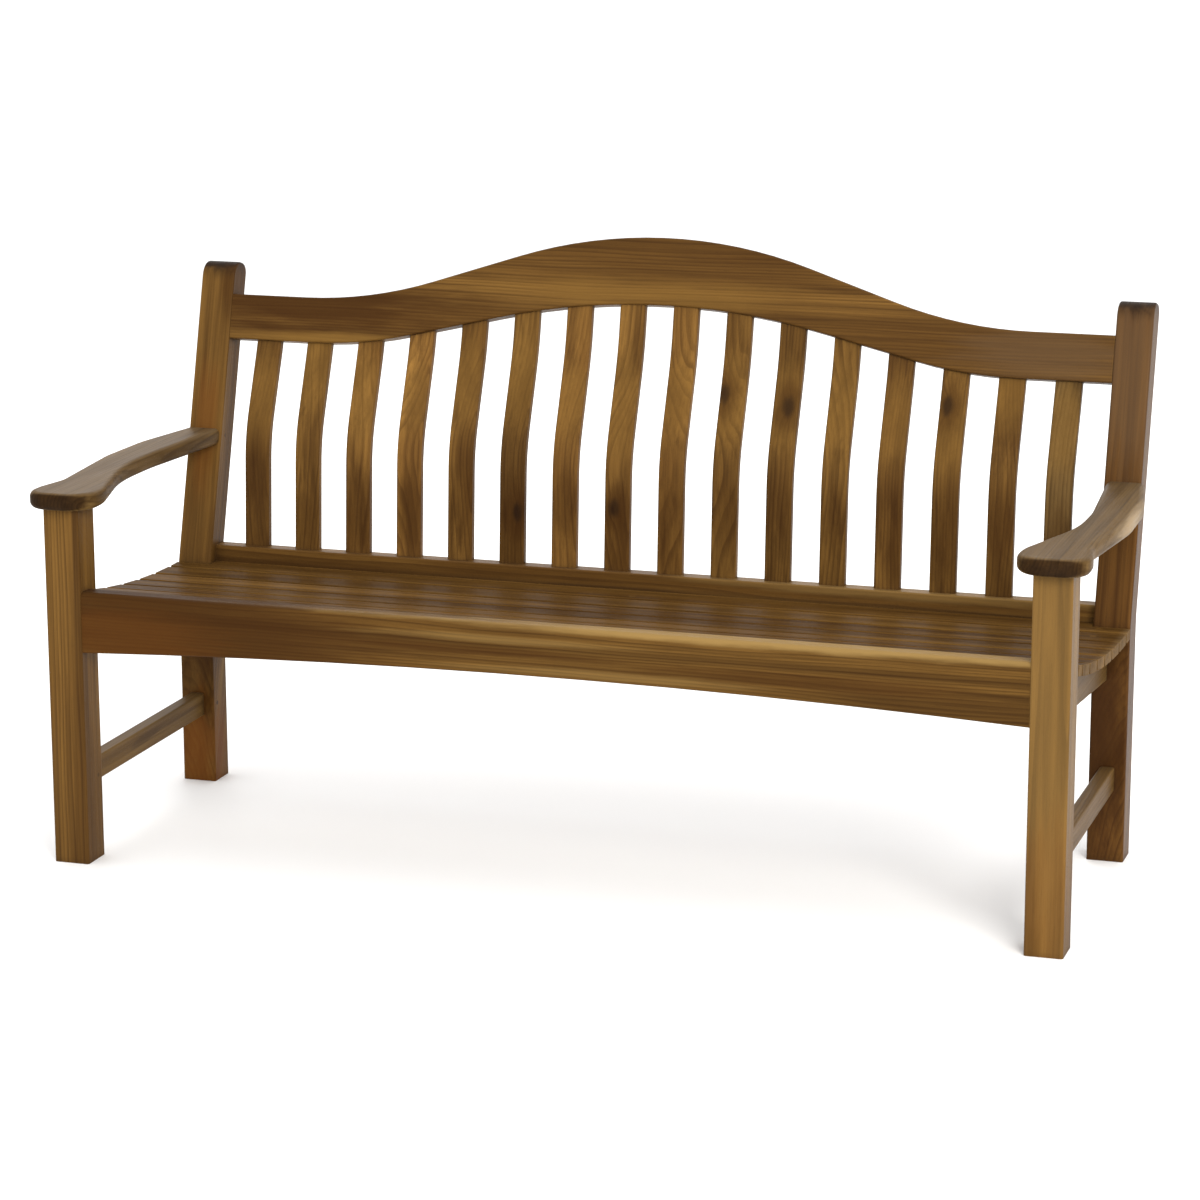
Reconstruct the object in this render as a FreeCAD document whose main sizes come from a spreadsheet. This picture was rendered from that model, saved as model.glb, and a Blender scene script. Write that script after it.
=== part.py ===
import FreeCAD, Part
import os
from math import asin, atan, cos, degrees, pi, radians, sin, sqrt, tan

import Sketcher
from FreeCAD import Placement, Rotation, Vector

# Garden bench: four legs, a dished slatted seat, S-curved back slats under a
# camel-back crest rail, and two flat arms that bow outwards between leg and post.
# Facing the bench, +X runs to the right, +Y from the front to the back, +Z up.
# Depths in the sheet are measured from the front face of the front legs.

DIMENSIONS = (
    ("frame_width", 1650, "outer faces of the legs, side to side"),
    ("front_face", -340.36, "Y of the front legs' front faces"),
    ("leg_wide", 60, "legs and posts, side to side"),
    ("leg_deep", 62, "front leg, front to back"),
    ("edge_round", 4, "rounding of the long edges"),
    ("arm_underside", 585, "top shoulder of the front legs"),
    ("arm_thick", 28, "arm board"),
    ("arm_round", 10, "bullnose of the arm board"),
    ("arm_overhang", 24, "arm in front of the leg"),
    ("arm_tenon", 34, "side of the tenon on the leg's top"),
    ("arm_tenon_long", 16, "height of that tenon"),
    ("post_front", 511, "depth of the back posts' front faces"),
    ("post_deep", 59, "post below the seat, front to back"),
    ("post_knee", 385, "height where the post's front face leans back"),
    ("post_upper_deep", 54, "raked part of the post, square to its face"),
    ("post_top", 895, "height of the posts' front corners before they are rounded"),
    ("post_front_round", 28, "rounding of a post's top towards the sitter"),
    ("post_back_round", 18, "rounding of a post's top at the back"),
    ("knee_round", 100, "rounding of the knee"),
    ("rake", 15.5, "lean of the back in degrees"),
    ("dish_radius", 1800, "curve of the seat's top, front to back"),
    ("dish_depth", 480, "depth of the seat's lowest line"),
    ("dish_height", 388, "height of the seat's lowest line"),
    ("seat_front", 38, "depth of the first seat slat's front edge"),
    ("seat_slat_count", 8, "slats in the seat"),
    ("seat_slat_wide", 56, "seat slats, front to back"),
    ("seat_slat_gap", 8, "gap between seat slats"),
    ("seat_slat_thick", 17, "seat slats"),
    ("seat_slat_round", 3, "rounding of a seat slat's long edges"),
    ("notch_clear", 1, "room between a notched slat and a leg"),
    ("front_rail_setback", 3, "front rail behind the legs' faces"),
    ("front_rail_thick", 30, "front rail"),
    ("front_rail_top", 450, "height of the front rail's top"),
    ("front_rail_bottom", 351, "underside of the front rail at the legs"),
    ("front_rail_arch", 19.5, "rise of that underside at the middle"),
    ("front_rail_round", 9, "nosing on the front rail's top"),
    ("arch_bevel", 2, "bevel along the edges of that arch"),
    ("rail_round", 3, "rounding of the long edges of the rear rail and stretchers"),
    ("rear_rail_front", 540, "depth of the rear seat rail's front face"),
    ("rear_rail_thick", 30, "rear seat rail"),
    ("rear_rail_top", 416, "height of the rear seat rail's top"),
    ("rear_rail_bottom", 318, "height of its underside"),
    ("bearer_thick", 25, "side seat rails and centre bearer"),
    ("bearer_front_bottom", 342, "underside of a side rail at the front leg"),
    ("bearer_back_bottom", 302, "underside of a side rail at the post"),
    ("centre_front_bottom", 378, "underside of the centre bearer at the front rail"),
    ("centre_back_bottom", 326, "underside of the centre bearer at the rear rail"),
    ("stretcher_thick", 24, "side stretchers"),
    ("stretcher_bottom", 118, "height of their underside"),
    ("stretcher_tall", 40, "their height"),
    ("tenon_thick", 12, "all tenons but the one under the arm"),
    ("tenon_long", 40, "tenons of the front, rear and crest rails"),
    ("side_tenon_long", 32, "tenons of the side rails, stretchers and arms"),
    ("rail_shoulder", 16, "front or rear rail below its tenon"),
    ("rail_tenon_tall", 66, "tenons of the front and rear rails"),
    ("side_shoulder", 14, "side rail or centre bearer below its tenon"),
    ("side_tenon_tall", 40, "tenons of the side rails"),
    ("centre_tenon_tall", 26, "tenons of the centre bearer"),
    ("stretcher_shoulder", 8, "stretcher above and below its tenon"),
    ("crest_shoulder", 14, "crest rail below its tenon"),
    ("crest_tenon_tall", 50, "tenons of the crest rail"),
    ("crest_setback", 2, "crest rail behind the posts' faces"),
    ("crest_thick", 34, "crest rail"),
    ("crest_height", 764, "underside of the crest rail at its ends"),
    ("crest_end", 77.3, "depth of the crest board at its ends"),
    ("crest_top_corner", 513, "half span between the top edge's valleys"),
    ("crest_top_apex", 247.6, "where the top edge's slopes would meet"),
    ("crest_top_crown", 800, "radius of the top edge's crown"),
    ("crest_low_corner", 524.5, "half span between the lower edge's valleys"),
    ("crest_low_apex", 125.2, "where the lower edge's slopes would meet"),
    ("crest_low_crown", 1204, "radius of the lower edge's crown"),
    ("crest_valley", 725, "radius of the valleys beside the arch"),
    ("back_slat_count", 16, "slats in the back"),
    ("back_slat_wide", 44, "back slats"),
    ("back_slat_thick", 17, "back slats"),
    ("back_slat_socket", 14, "how far a back slat enters a rail"),
    ("foot_depth", 551, "depth of a back slat's front face at its foot"),
    ("lumbar_depth", 561.5, "depth of the bend above the hips"),
    ("lumbar_height", 608, "height of that bend"),
    ("lumbar_round", 250, "radius of that bend"),
    ("shoulder_depth", 630, "depth of the bend at the shoulders"),
    ("shoulder_height", 772, "height of that bend"),
    ("shoulder_round", 400, "radius of that bend"),
    ("head_depth", 653, "depth of the strip's upper end"),
    ("head_height", 880, "height of the strip's upper end"),
    ("screw_shank", 4.5, "diameter of the seat screws"),
    ("screw_head", 9, "diameter of their heads"),
    ("screw_head_tall", 4, "height of their heads"),
    ("screw_long", 38, "length of the seat screws"),
    ("plug_wide", 10, "diameter of the plugs over the screws"),
    ("plug_tall", 5, "height of the plugs"),
    ("screw_shift", 13.5, "how far the end slats' screws move away from their notches"),
    ("peg_wide", 8, "diameter of the pegs through the tenons"),
    ("peg_inset", 28, "pegs of the long rails, from the inner faces of the legs"),
    ("side_peg_inset", 16, "pegs of the side rails and stretchers, from their shoulders"),
    ("long_peg", 52, "pegs that run nearly through a leg or post"),
    ("crest_peg", 44, "pegs of the crest rail"),
    ("short_peg", 30, "pegs through the tenons near a leg's inner face"),
)

doc = FreeCAD.newDocument("garden_bench")
sheet = doc.addObject("Spreadsheet::Sheet", "Sizes")
for row, (alias, value, note) in enumerate(DIMENSIONS, start=1):
    sheet.set(f"A{row}", note)
    sheet.set(f"B{row}", str(value))
    sheet.setAlias(f"B{row}", alias)
doc.recompute()


def size(alias):
    """The value of a named cell."""
    return float(sheet.get(alias))


# ---------------------------------------------------------------- building blocks

def add_body(label):
    """A body that stands in the bench's frame, behind the front legs' faces."""
    body = doc.addObject("PartDesign::Body", label)
    body.Label = label
    body.setExpression("Placement.Base.y", "Sizes.front_face")
    return body


def add_sketch(body, role, offset="0"):
    """A sketch on one of the body's own planes, moved along that plane's normal."""
    sketch = body.newObject("Sketcher::SketchObject", body.Name + "_sketch")
    support = next(item for item in body.Origin.OriginFeatures if item.Role == role)
    sketch.AttachmentSupport = (support, "")
    sketch.MapMode = "FlatFace"
    sketch.setExpression("AttachmentOffset.Base.z", offset)
    return sketch


def rectangle(sketch, left, bottom, wide, tall):
    """A rectangle whose corner and sides follow expressions on the sheet."""
    bound = {"left": left, "bottom": bottom, "wide": wide, "tall": tall}
    x, y, w, h = (float(sketch.evalExpression(text)) for text in bound.values())
    corners = [Vector(x, y, 0), Vector(x + w, y, 0), Vector(x + w, y + h, 0), Vector(x, y + h, 0)]
    for index, corner in enumerate(corners):
        sketch.addGeometry(Part.LineSegment(corner, corners[(index + 1) % 4]), False)
    for index in range(4):
        sketch.addConstraint(Sketcher.Constraint("Coincident", index, 2, (index + 1) % 4, 1))
    for kind, index in (("Horizontal", 0), ("Vertical", 1), ("Horizontal", 2), ("Vertical", 3)):
        sketch.addConstraint(Sketcher.Constraint(kind, index))
    driving = {
        "left": Sketcher.Constraint("DistanceX", -1, 1, 0, 1, x),
        "bottom": Sketcher.Constraint("DistanceY", -1, 1, 0, 1, y),
        "wide": Sketcher.Constraint("DistanceX", 0, 1, 0, 2, w),
        "tall": Sketcher.Constraint("DistanceY", 1, 1, 1, 2, h),
    }
    for name, constraint in driving.items():
        sketch.renameConstraint(sketch.addConstraint(constraint), name)
        sketch.setExpression("Constraints." + name, bound[name])


def circle(sketch, across, up, radius):
    """A circle whose centre and radius follow expressions on the sheet."""
    x, y, r = (float(sketch.evalExpression(text)) for text in (across, up, radius))
    sketch.addGeometry(Part.Circle(Vector(x, y, 0), Vector(0, 0, 1), r), False)
    driving = {
        "across": (Sketcher.Constraint("DistanceX", -1, 1, 0, 3, x), across),
        "up": (Sketcher.Constraint("DistanceY", -1, 1, 0, 3, y), up),
        "radius": (Sketcher.Constraint("Radius", 0, r), radius),
    }
    for name, (constraint, text) in driving.items():
        sketch.renameConstraint(sketch.addConstraint(constraint), name)
        sketch.setExpression("Constraints." + name, text)


def outline(sketch, corners):
    """A closed outline of straight sides; each corner (u, v, radius) is rounded by a tangent arc."""
    points = [Vector(u, v, 0) for u, v, _ in corners]
    turns = []
    for index, (here, (_, _, radius)) in enumerate(zip(points, corners)):
        back = (points[index - 1] - here).normalize()
        onward = (points[(index + 1) % len(points)] - here).normalize()
        half = back.getAngle(onward) / 2
        reach = radius / tan(half)
        bisector = (back + onward).normalize() if radius else Vector()
        middle = here + bisector * (radius / sin(half) - radius)
        turns.append((here + back * reach, middle, here + onward * reach))
    for index, (entry, middle, leave) in enumerate(turns):
        sketch.addGeometry(Part.LineSegment(turns[index - 1][2], entry), False)
        if corners[index][2]:
            sketch.addGeometry(Part.Arc(entry, middle, leave), False)


def strip(path, thick):
    """The outline of a strip: its front follows the path upwards, its back lies a thickness behind."""
    points = [Vector(u, v, 0) for u, v, _ in path]
    runs = [(end - start).normalize() for start, end in zip(points, points[1:])]
    backs = []
    for index, (u, v, radius) in enumerate(path):
        before = runs[max(index - 1, 0)]
        after = runs[min(index, len(runs) - 1)]
        square = Vector(before.y, -before.x, 0)
        mitre = (square + Vector(after.y, -after.x, 0)).normalize()
        reach = thick / mitre.dot(square)
        turn = before.cross(after).z
        inner = radius and (radius + thick if turn > 0 else radius - thick)
        backs.append((u + mitre.x * reach, v + mitre.y * reach, inner))
    return path + backs[::-1]


def pad(body, sketch, length, midplane=False, reverse=False):
    """Thicken a sketch to a length given by an expression."""
    feature = body.newObject("PartDesign::Pad", body.Name + "_pad")
    feature.Profile = sketch
    feature.setExpression("Length", length)
    feature.Midplane = midplane
    feature.Reversed = reverse
    doc.recompute()
    return feature


def pocket(body, sketch, length):
    """Cut a sketch symmetrically about its plane, and make sure that it removed wood."""
    before = body.Shape.Volume
    feature = body.newObject("PartDesign::Pocket", body.Name + "_pocket")
    feature.Profile = sketch
    feature.setExpression("Length", length)
    feature.Midplane = True
    doc.recompute()
    if body.Shape.Volume > before - 1:
        raise RuntimeError(body.Label + ": a pocket cut nothing")
    return feature


def end_tenons(body, front, bottom, tall):
    """A tenon on each end of a rail that runs between the legs."""
    for left in (INSIDE, "-" + INSIDE + " - Sizes.tenon_long"):
        sketch = add_sketch(body, "XZ_Plane", "-(" + front + ")")
        rectangle(sketch, left, bottom, "Sizes.tenon_long", tall)
        pad(body, sketch, "Sizes.tenon_thick", reverse=True)


def round_edges(body, feature, wanted, radius):
    """Fillet the edges of a feature for which wanted(edge) is true."""
    names = [f"Edge{n}" for n, edge in enumerate(feature.Shape.Edges, start=1) if wanted(edge)]
    fillet = body.newObject("PartDesign::Fillet", body.Name + "_round")
    fillet.Base = (feature, names)
    fillet.setExpression("Radius", radius)
    doc.recompute()
    return fillet


def bevel_edges(body, feature, wanted, width):
    """Chamfer the edges of a feature for which wanted(edge) is true."""
    names = [f"Edge{n}" for n, edge in enumerate(feature.Shape.Edges, start=1) if wanted(edge)]
    chamfer = body.newObject("PartDesign::Chamfer", body.Name + "_bevel")
    chamfer.Base = (feature, names)
    chamfer.setExpression("Size", width)
    doc.recompute()
    return chamfer


def spans(axis, values):
    """A test for edges that lie wholly at one of the given places along an axis."""
    def wanted(edge):
        box = edge.BoundBox
        low, high = getattr(box, axis + "Min"), getattr(box, axis + "Max")
        return any(abs(low - value) < 0.01 and abs(high - value) < 0.01 for value in values)
    return wanted


def along(axis, least):
    """A test for straight edges that run along an axis for at least a length."""
    def wanted(edge):
        reach = getattr(edge.BoundBox, axis + "Length")
        return reach > least and abs(reach - edge.Length) < 0.01
    return wanted


def long_sides(low, high, lowest):
    """Edges on the two side faces of a post or slat, without the ones at its foot."""
    on_side = spans("X", (low, high))

    def wanted(edge):
        return on_side(edge) and edge.BoundBox.ZMax > lowest
    return wanted


def carve(label, base, tools):
    """The base with the space that each tool takes cut out of it."""
    for tool in tools:
        cut = doc.addObject("Part::Cut", label + "_cut")
        cut.Base = base
        cut.Tool = tool
        base = cut
    base.Label = label
    return base


def mirrored(label, source):
    """The same piece on the other side of the bench."""
    twin = doc.addObject("Part::Mirroring", label)
    twin.Source = source
    twin.Normal = Vector(1, 0, 0)
    twin.Label = label
    return twin


def group(label, shapes, place):
    """Separate solids that share one node."""
    feature = doc.addObject("Part::Feature", label)
    feature.Shape = Part.makeCompound(shapes)
    feature.Placement = place
    feature.Label = label
    return feature


# ---------------------------------------------------------------- shared places

HALF = size("frame_width") / 2
INNER = HALF - size("leg_wide")
SLOPE = tan(radians(size("rake")))
BENCH = Placement(Vector(0, size("front_face"), 0), Rotation())
DISH_CENTRE = (size("dish_depth"), size("dish_height") + size("dish_radius"))
UNDER_SLATS = size("dish_radius") + size("seat_slat_thick")
INSIDE = "(Sizes.frame_width / 2 - Sizes.leg_wide)"
OUTSIDE = "(Sizes.frame_width / 2)"


def post_face(height):
    """Depth of the raked front face of the posts at a height."""
    return size("post_front") + (height - size("post_knee")) * SLOPE


def crest_frame():
    """Where the crest board's own origin stands, and its lean."""
    setback = size("crest_setback") / cos(radians(size("rake")))
    depth = size("front_face") + post_face(size("crest_height")) + setback
    lean = Rotation(Vector(1, 0, 0), -size("rake"))
    return Placement(Vector(0, depth, size("crest_height")), lean)


def arch_rise(across):
    """Rise of the crest board's lower edge at a distance from the middle."""
    angle = atan(size("crest_low_apex") / size("crest_low_corner"))
    crown = size("crest_low_crown")
    valley = size("crest_valley")
    foot = size("crest_low_corner") + valley * tan(angle / 2)
    across = abs(across)
    if across < crown * sin(angle):
        top = size("crest_low_apex") - crown * (1 / cos(angle) - 1)
        return top - (crown - sqrt(crown ** 2 - across ** 2))
    if across < foot - valley * sin(angle):
        return size("crest_low_apex") - across * tan(angle)
    if across < foot:
        return valley - sqrt(valley ** 2 - (foot - across) ** 2)
    return 0.0


# ---------------------------------------------------------------- legs and posts

def front_leg():
    """A square leg with a tenon on its top for the arm."""
    body = add_body("front_leg")
    sketch = add_sketch(body, "XY_Plane")
    rectangle(sketch, INSIDE, "0", "Sizes.leg_wide", "Sizes.leg_deep")
    post = pad(body, sketch, "Sizes.arm_underside")
    round_edges(body, post, along("Z", size("leg_deep")), "Sizes.edge_round")
    sketch = add_sketch(body, "XY_Plane", "Sizes.arm_underside")
    rectangle(sketch, INSIDE + " + (Sizes.leg_wide - Sizes.arm_tenon) / 2",
              "(Sizes.leg_deep - Sizes.arm_tenon) / 2", "Sizes.arm_tenon", "Sizes.arm_tenon")
    pad(body, sketch, "Sizes.arm_tenon_long")
    return body


def back_post():
    """A post sawn to a knee above the seat, leaning back from there to a rounded top."""
    body = add_body("back_post")
    sketch = add_sketch(body, "YZ_Plane", INSIDE)
    front = size("post_front")
    back = front + size("post_deep")
    level_deep = size("post_upper_deep") / cos(radians(size("rake")))
    back_knee = size("post_knee") + (back - front - level_deep) / SLOPE
    top = size("post_top")
    knee = size("knee_round")
    # the post is sawn off square to its lean, so the back corner lies lower than the front one
    drop = size("post_upper_deep") * sin(radians(size("rake")))
    top_front = post_face(top)
    top_back = top_front + size("post_upper_deep") * cos(radians(size("rake")))
    outline(sketch, [
        (front, 0, 0),
        (back, 0, 0),
        (back, back_knee, knee),
        (top_back, top - drop, size("post_back_round")),
        (top_front, top, size("post_front_round")),
        (front, size("post_knee"), knee),
    ])
    blank = pad(body, sketch, "Sizes.leg_wide")
    round_edges(body, blank, long_sides(INNER, HALF, 1), "Sizes.edge_round")
    return body


# ---------------------------------------------------------------- rails

def front_rail():
    """The deep board under the sitter's knees: nosed on top, arched below."""
    body = add_body("front_rail")
    sketch = add_sketch(body, "XZ_Plane", "-Sizes.front_rail_setback")
    # the blank is deeper than the rail by the height of the arch, which takes its whole lower edge
    rectangle(sketch, "-" + INSIDE, "Sizes.front_rail_bottom - Sizes.front_rail_arch", "2 * " + INSIDE,
              "Sizes.front_rail_top - Sizes.front_rail_bottom + Sizes.front_rail_arch")
    board = pad(body, sketch, "Sizes.front_rail_thick", reverse=True)
    arch = add_sketch(body, "XZ_Plane")
    radius = "(" + INSIDE + " ^ 2 / Sizes.front_rail_arch + Sizes.front_rail_arch) / 2"
    circle(arch, "0", "Sizes.front_rail_bottom + Sizes.front_rail_arch - " + radius, radius)
    board = pocket(body, arch, "8 * Sizes.front_rail_thick")
    top = spans("Z", (size("front_rail_top"),))
    front = spans("Y", (size("front_rail_setback"),))
    nosing = round_edges(body, board, lambda edge: top(edge) and front(edge), "Sizes.front_rail_round")

    def arch_edge(edge):
        """One of the two long edges of the arch."""
        lowest = edge.BoundBox.ZMin < size("front_rail_bottom") + 2 * size("arch_bevel")
        return lowest and edge.BoundBox.XLength > INNER

    bevel_edges(body, nosing, arch_edge, "Sizes.arch_bevel")
    end_tenons(body, "Sizes.front_rail_setback + (Sizes.front_rail_thick - Sizes.tenon_thick) / 2",
               "Sizes.front_rail_bottom + Sizes.rail_shoulder", "Sizes.rail_tenon_tall")
    return body


def rear_rail():
    """The rail that closes the seat at the back and holds the feet of the back slats."""
    body = add_body("rear_rail")
    sketch = add_sketch(body, "XZ_Plane", "-Sizes.rear_rail_front")
    rectangle(sketch, "-" + INSIDE, "Sizes.rear_rail_bottom", "2 * " + INSIDE,
              "Sizes.rear_rail_top - Sizes.rear_rail_bottom")
    board = pad(body, sketch, "Sizes.rear_rail_thick", reverse=True)
    round_edges(body, board, along("X", INNER), "Sizes.rail_round")
    end_tenons(body, "Sizes.rear_rail_front + (Sizes.rear_rail_thick - Sizes.tenon_thick) / 2",
               "Sizes.rear_rail_bottom + Sizes.rail_shoulder", "Sizes.rail_tenon_tall")
    return body


def seat_bearer(label, inner, front, back, tenon_long, tenon_tall):
    """A rail under the slats whose top is cut to the dish; front and back are (depth, underside)."""
    body = add_body(label)
    sketch = add_sketch(body, "YZ_Plane", inner)
    front_depth, front_bottom = front
    back_depth, back_bottom = back
    crown = size("front_rail_top")
    outline(sketch, [
        (front_depth, front_bottom, 0),
        (back_depth, back_bottom, 0),
        (back_depth, crown, 0),
        (front_depth, crown, 0),
    ])
    pad(body, sketch, "Sizes.bearer_thick")
    dish = add_sketch(body, "YZ_Plane", inner)
    circle(dish, "Sizes.dish_depth", "Sizes.dish_height + Sizes.dish_radius",
           "Sizes.dish_radius + Sizes.seat_slat_thick")
    pocket(body, dish, "4 * Sizes.bearer_thick")
    for depth, bottom in (front, back):
        tenon = add_sketch(body, "YZ_Plane", inner + " + (Sizes.bearer_thick - Sizes.tenon_thick) / 2")
        low = bottom + size("side_shoulder")
        high = low + tenon_tall
        outline(tenon, [
            (depth - tenon_long, low, 0),
            (depth + tenon_long, low, 0),
            (depth + tenon_long, high, 0),
            (depth - tenon_long, high, 0),
        ])
        pad(body, tenon, "Sizes.tenon_thick")
    return body


def side_stretcher():
    """The low rail between a front leg and the post behind it."""
    body = add_body("side_stretcher")
    sketch = add_sketch(body, "XZ_Plane", "-Sizes.leg_deep")
    middle = INSIDE + " + Sizes.leg_wide / 2"
    rectangle(sketch, middle + " - Sizes.stretcher_thick / 2", "Sizes.stretcher_bottom",
              "Sizes.stretcher_thick", "Sizes.stretcher_tall")
    board = pad(body, sketch, "Sizes.post_front - Sizes.leg_deep", reverse=True)
    round_edges(body, board, along("Y", size("stretcher_tall")), "Sizes.rail_round")
    tenon = add_sketch(body, "XZ_Plane", "-(Sizes.leg_deep - Sizes.side_tenon_long)")
    rectangle(tenon, middle + " - Sizes.tenon_thick / 2", "Sizes.stretcher_bottom + Sizes.stretcher_shoulder",
              "Sizes.tenon_thick", "Sizes.stretcher_tall - 2 * Sizes.stretcher_shoulder")
    pad(body, tenon, "Sizes.post_front - Sizes.leg_deep + 2 * Sizes.side_tenon_long", reverse=True)
    return body


def crest_rail():
    """The camel-back board between the tops of the posts, leaning with them."""
    body = doc.addObject("PartDesign::Body", "crest_board")
    body.Placement = crest_frame()
    top = size("crest_end")
    valley = size("crest_valley")
    high = size("crest_top_corner")
    low = size("crest_low_corner")
    board = add_sketch(body, "XZ_Plane")
    outline(board, [
        (-INNER, 0, 0),
        (-low, 0, valley),
        (0, size("crest_low_apex"), size("crest_low_crown")),
        (low, 0, valley),
        (INNER, 0, 0),
        (INNER, top, 0),
        (high, top, valley),
        (0, size("crest_top_apex"), size("crest_top_crown")),
        (-high, top, valley),
        (-INNER, top, 0),
    ])
    blank = pad(body, board, "Sizes.crest_thick", reverse=True)
    faces = spans("Y", (0, size("crest_thick")))
    round_edges(body, blank, lambda edge: faces(edge) and edge.BoundBox.XLength > 1, "Sizes.edge_round")
    end_tenons(body, "(Sizes.crest_thick - Sizes.tenon_thick) / 2", "Sizes.crest_shoulder",
               "Sizes.crest_tenon_tall")
    return body


# ---------------------------------------------------------------- slats

def back_slat(number):
    """A slat cut at its own height from one S-curved strip: upright, leaning back, then easing off."""
    body = add_body(f"back_slat_{number:02d}")
    wide = size("back_slat_wide")
    count = size("back_slat_count")
    gap = (2 * INNER - count * wide) / (count + 1)
    middle = -INNER + number * (gap + wide) - wide / 2
    body.Placement.Base.x = middle
    foot = size("rear_rail_top") - size("back_slat_socket")
    head = (arch_rise(middle) + size("back_slat_socket")) * cos(radians(size("rake")))
    front = [
        (size("foot_depth"), foot, 0),
        (size("lumbar_depth"), size("lumbar_height"), size("lumbar_round")),
        (size("shoulder_depth"), size("shoulder_height"), size("shoulder_round")),
        (size("head_depth"), size("head_height"), 0),
    ]
    profile = add_sketch(body, "YZ_Plane")
    outline(profile, strip(front, size("back_slat_thick")))
    blank = pad(body, profile, "Sizes.back_slat_wide", midplane=True)
    round_edges(body, blank, long_sides(-wide / 2, wide / 2, foot + 5), "Sizes.edge_round")
    waste = add_sketch(body, "YZ_Plane")
    rectangle(waste, "0", f"Sizes.crest_height + {head:.2f}", "2 * Sizes.head_depth", "Sizes.head_height")
    pocket(body, waste, "2 * Sizes.back_slat_wide")
    return body


def seat_slat_frame(number):
    """The middle of a seat slat's top face on the dish, with the slat's tilt."""
    radius = size("dish_radius")
    wide = size("seat_slat_wide")
    first = asin((size("seat_front") - size("dish_depth")) / radius)
    angle = first + ((number - 0.5) * (wide + size("seat_slat_gap")) - size("seat_slat_gap") / 2) / radius
    # the flat underside rests on the dished rails along its two edges
    reach = sqrt(UNDER_SLATS ** 2 - (wide / 2) ** 2) - size("seat_slat_thick")
    depth = DISH_CENTRE[0] + reach * sin(angle)
    height = DISH_CENTRE[1] - reach * cos(angle)
    tilt = Rotation(Vector(1, 0, 0), degrees(angle))
    return Placement(Vector(0, size("front_face") + depth, height), tilt)


def crossings(place, depth):
    """Where an upright plane across the bench cuts a slat's top and underside, in the slat's own frame."""
    run = place.Rotation.multVec(Vector(0, 1, 0))
    away = size("front_face") + depth - place.Base.y
    return away / run.y, (away - size("seat_slat_thick") * run.z) / run.y


def notch_slat(body, low, high):
    """Cut both ends of a seat slat back to clear a leg or post, between two local depths."""
    wide = "Sizes.leg_wide + 2 * Sizes.notch_clear"
    for left in (INSIDE + " - Sizes.notch_clear", "-" + OUTSIDE + " - Sizes.notch_clear"):
        sketch = add_sketch(body, "XY_Plane")
        rectangle(sketch, left, f"{low:.3f}", wide, f"{high - low:.3f}")
        pocket(body, sketch, "4 * Sizes.seat_slat_thick")


def seat_slat(number):
    """A flat slat along the seat, its ends flush with the outer faces of the legs."""
    body = doc.addObject("PartDesign::Body", f"seat_slat_body_{number}")
    place = seat_slat_frame(number)
    body.Placement = place
    sketch = add_sketch(body, "YZ_Plane")
    rectangle(sketch, "-Sizes.seat_slat_wide / 2", "-Sizes.seat_slat_thick",
              "Sizes.seat_slat_wide", "Sizes.seat_slat_thick")
    board = pad(body, sketch, "Sizes.frame_width", midplane=True)
    round_edges(body, board, along("X", INNER), "Sizes.seat_slat_round")
    edge = size("seat_slat_wide") / 2
    clear = size("notch_clear")
    behind_leg = max(crossings(place, size("leg_deep"))) + clear
    before_post = min(crossings(place, size("post_front"))) - clear
    if behind_leg > -edge:
        notch_slat(body, -edge - clear, behind_leg)
    if before_post < edge:
        notch_slat(body, before_post, edge + clear)
    return body


# ---------------------------------------------------------------- arms

def arm():
    """A flat arm: a broad rounded hand rest, a waist, and a bow outwards on its way to the post."""
    body = add_body("arm")
    front = -size("arm_overhang")
    spare = size("post_front") + 2 * size("leg_deep")
    plan = add_sketch(body, "XY_Plane", "Sizes.arm_underside")
    # the hand rest's two front corners, the outer waist and bow, then the inner side back to the front
    outline(plan, [
        (INNER - 27, front, 46),
        (HALF + 25, front, 38),
        (HALF + 23, 34, 50),
        (HALF + 12, 92, 90),
        (HALF + 33, 300, 260),
        (HALF + 30, 430, 260),
        (HALF, 610, 0),
        (INNER, 610, 0),
        (INNER + 23, 340, 500),
        (INNER + 22, 215, 450),
        (INNER - 28, 45, 130),
    ])
    board = pad(body, plan, "Sizes.arm_thick")
    faces = spans("Z", (size("arm_underside"), size("arm_underside") + size("arm_thick")))
    round_edges(body, board, faces, "Sizes.arm_round")
    waste = add_sketch(body, "YZ_Plane", INSIDE)
    low = size("arm_underside") - size("arm_thick")
    high = size("arm_underside") + 2 * size("arm_thick")
    outline(waste, [(post_face(low), low, 0), (spare, low, 0), (spare, high, 0), (post_face(high), high, 0)])
    pocket(body, waste, "4 * Sizes.leg_wide")
    tenon = add_sketch(body, "XY_Plane", "Sizes.arm_underside + (Sizes.arm_thick - Sizes.tenon_thick) / 2")
    reach = post_face(size("arm_underside")) + size("side_tenon_long") - size("post_front")
    rectangle(tenon, INSIDE + " + Sizes.leg_wide / 2 - Sizes.arm_tenon / 2", "Sizes.post_front",
              "Sizes.arm_tenon", f"{reach:.3f}")
    pad(body, tenon, "Sizes.tenon_thick")
    return body


# ---------------------------------------------------------------- fastenings

def screw_places():
    """The frames of the seat screws: one where each slat crosses a side rail or the bearer."""
    across = INNER + size("bearer_thick") / 2
    count = int(size("seat_slat_count"))
    places = []
    for number in range(1, count + 1):
        # the notched slats are screwed down through the wood beside the notch
        shift = {1: size("screw_shift"), count: -size("screw_shift")}.get(number, 0)
        for x in (-across, 0, across):
            places.append(seat_slat_frame(number) * Placement(Vector(x, shift, 0), Rotation()))
    return places


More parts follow.
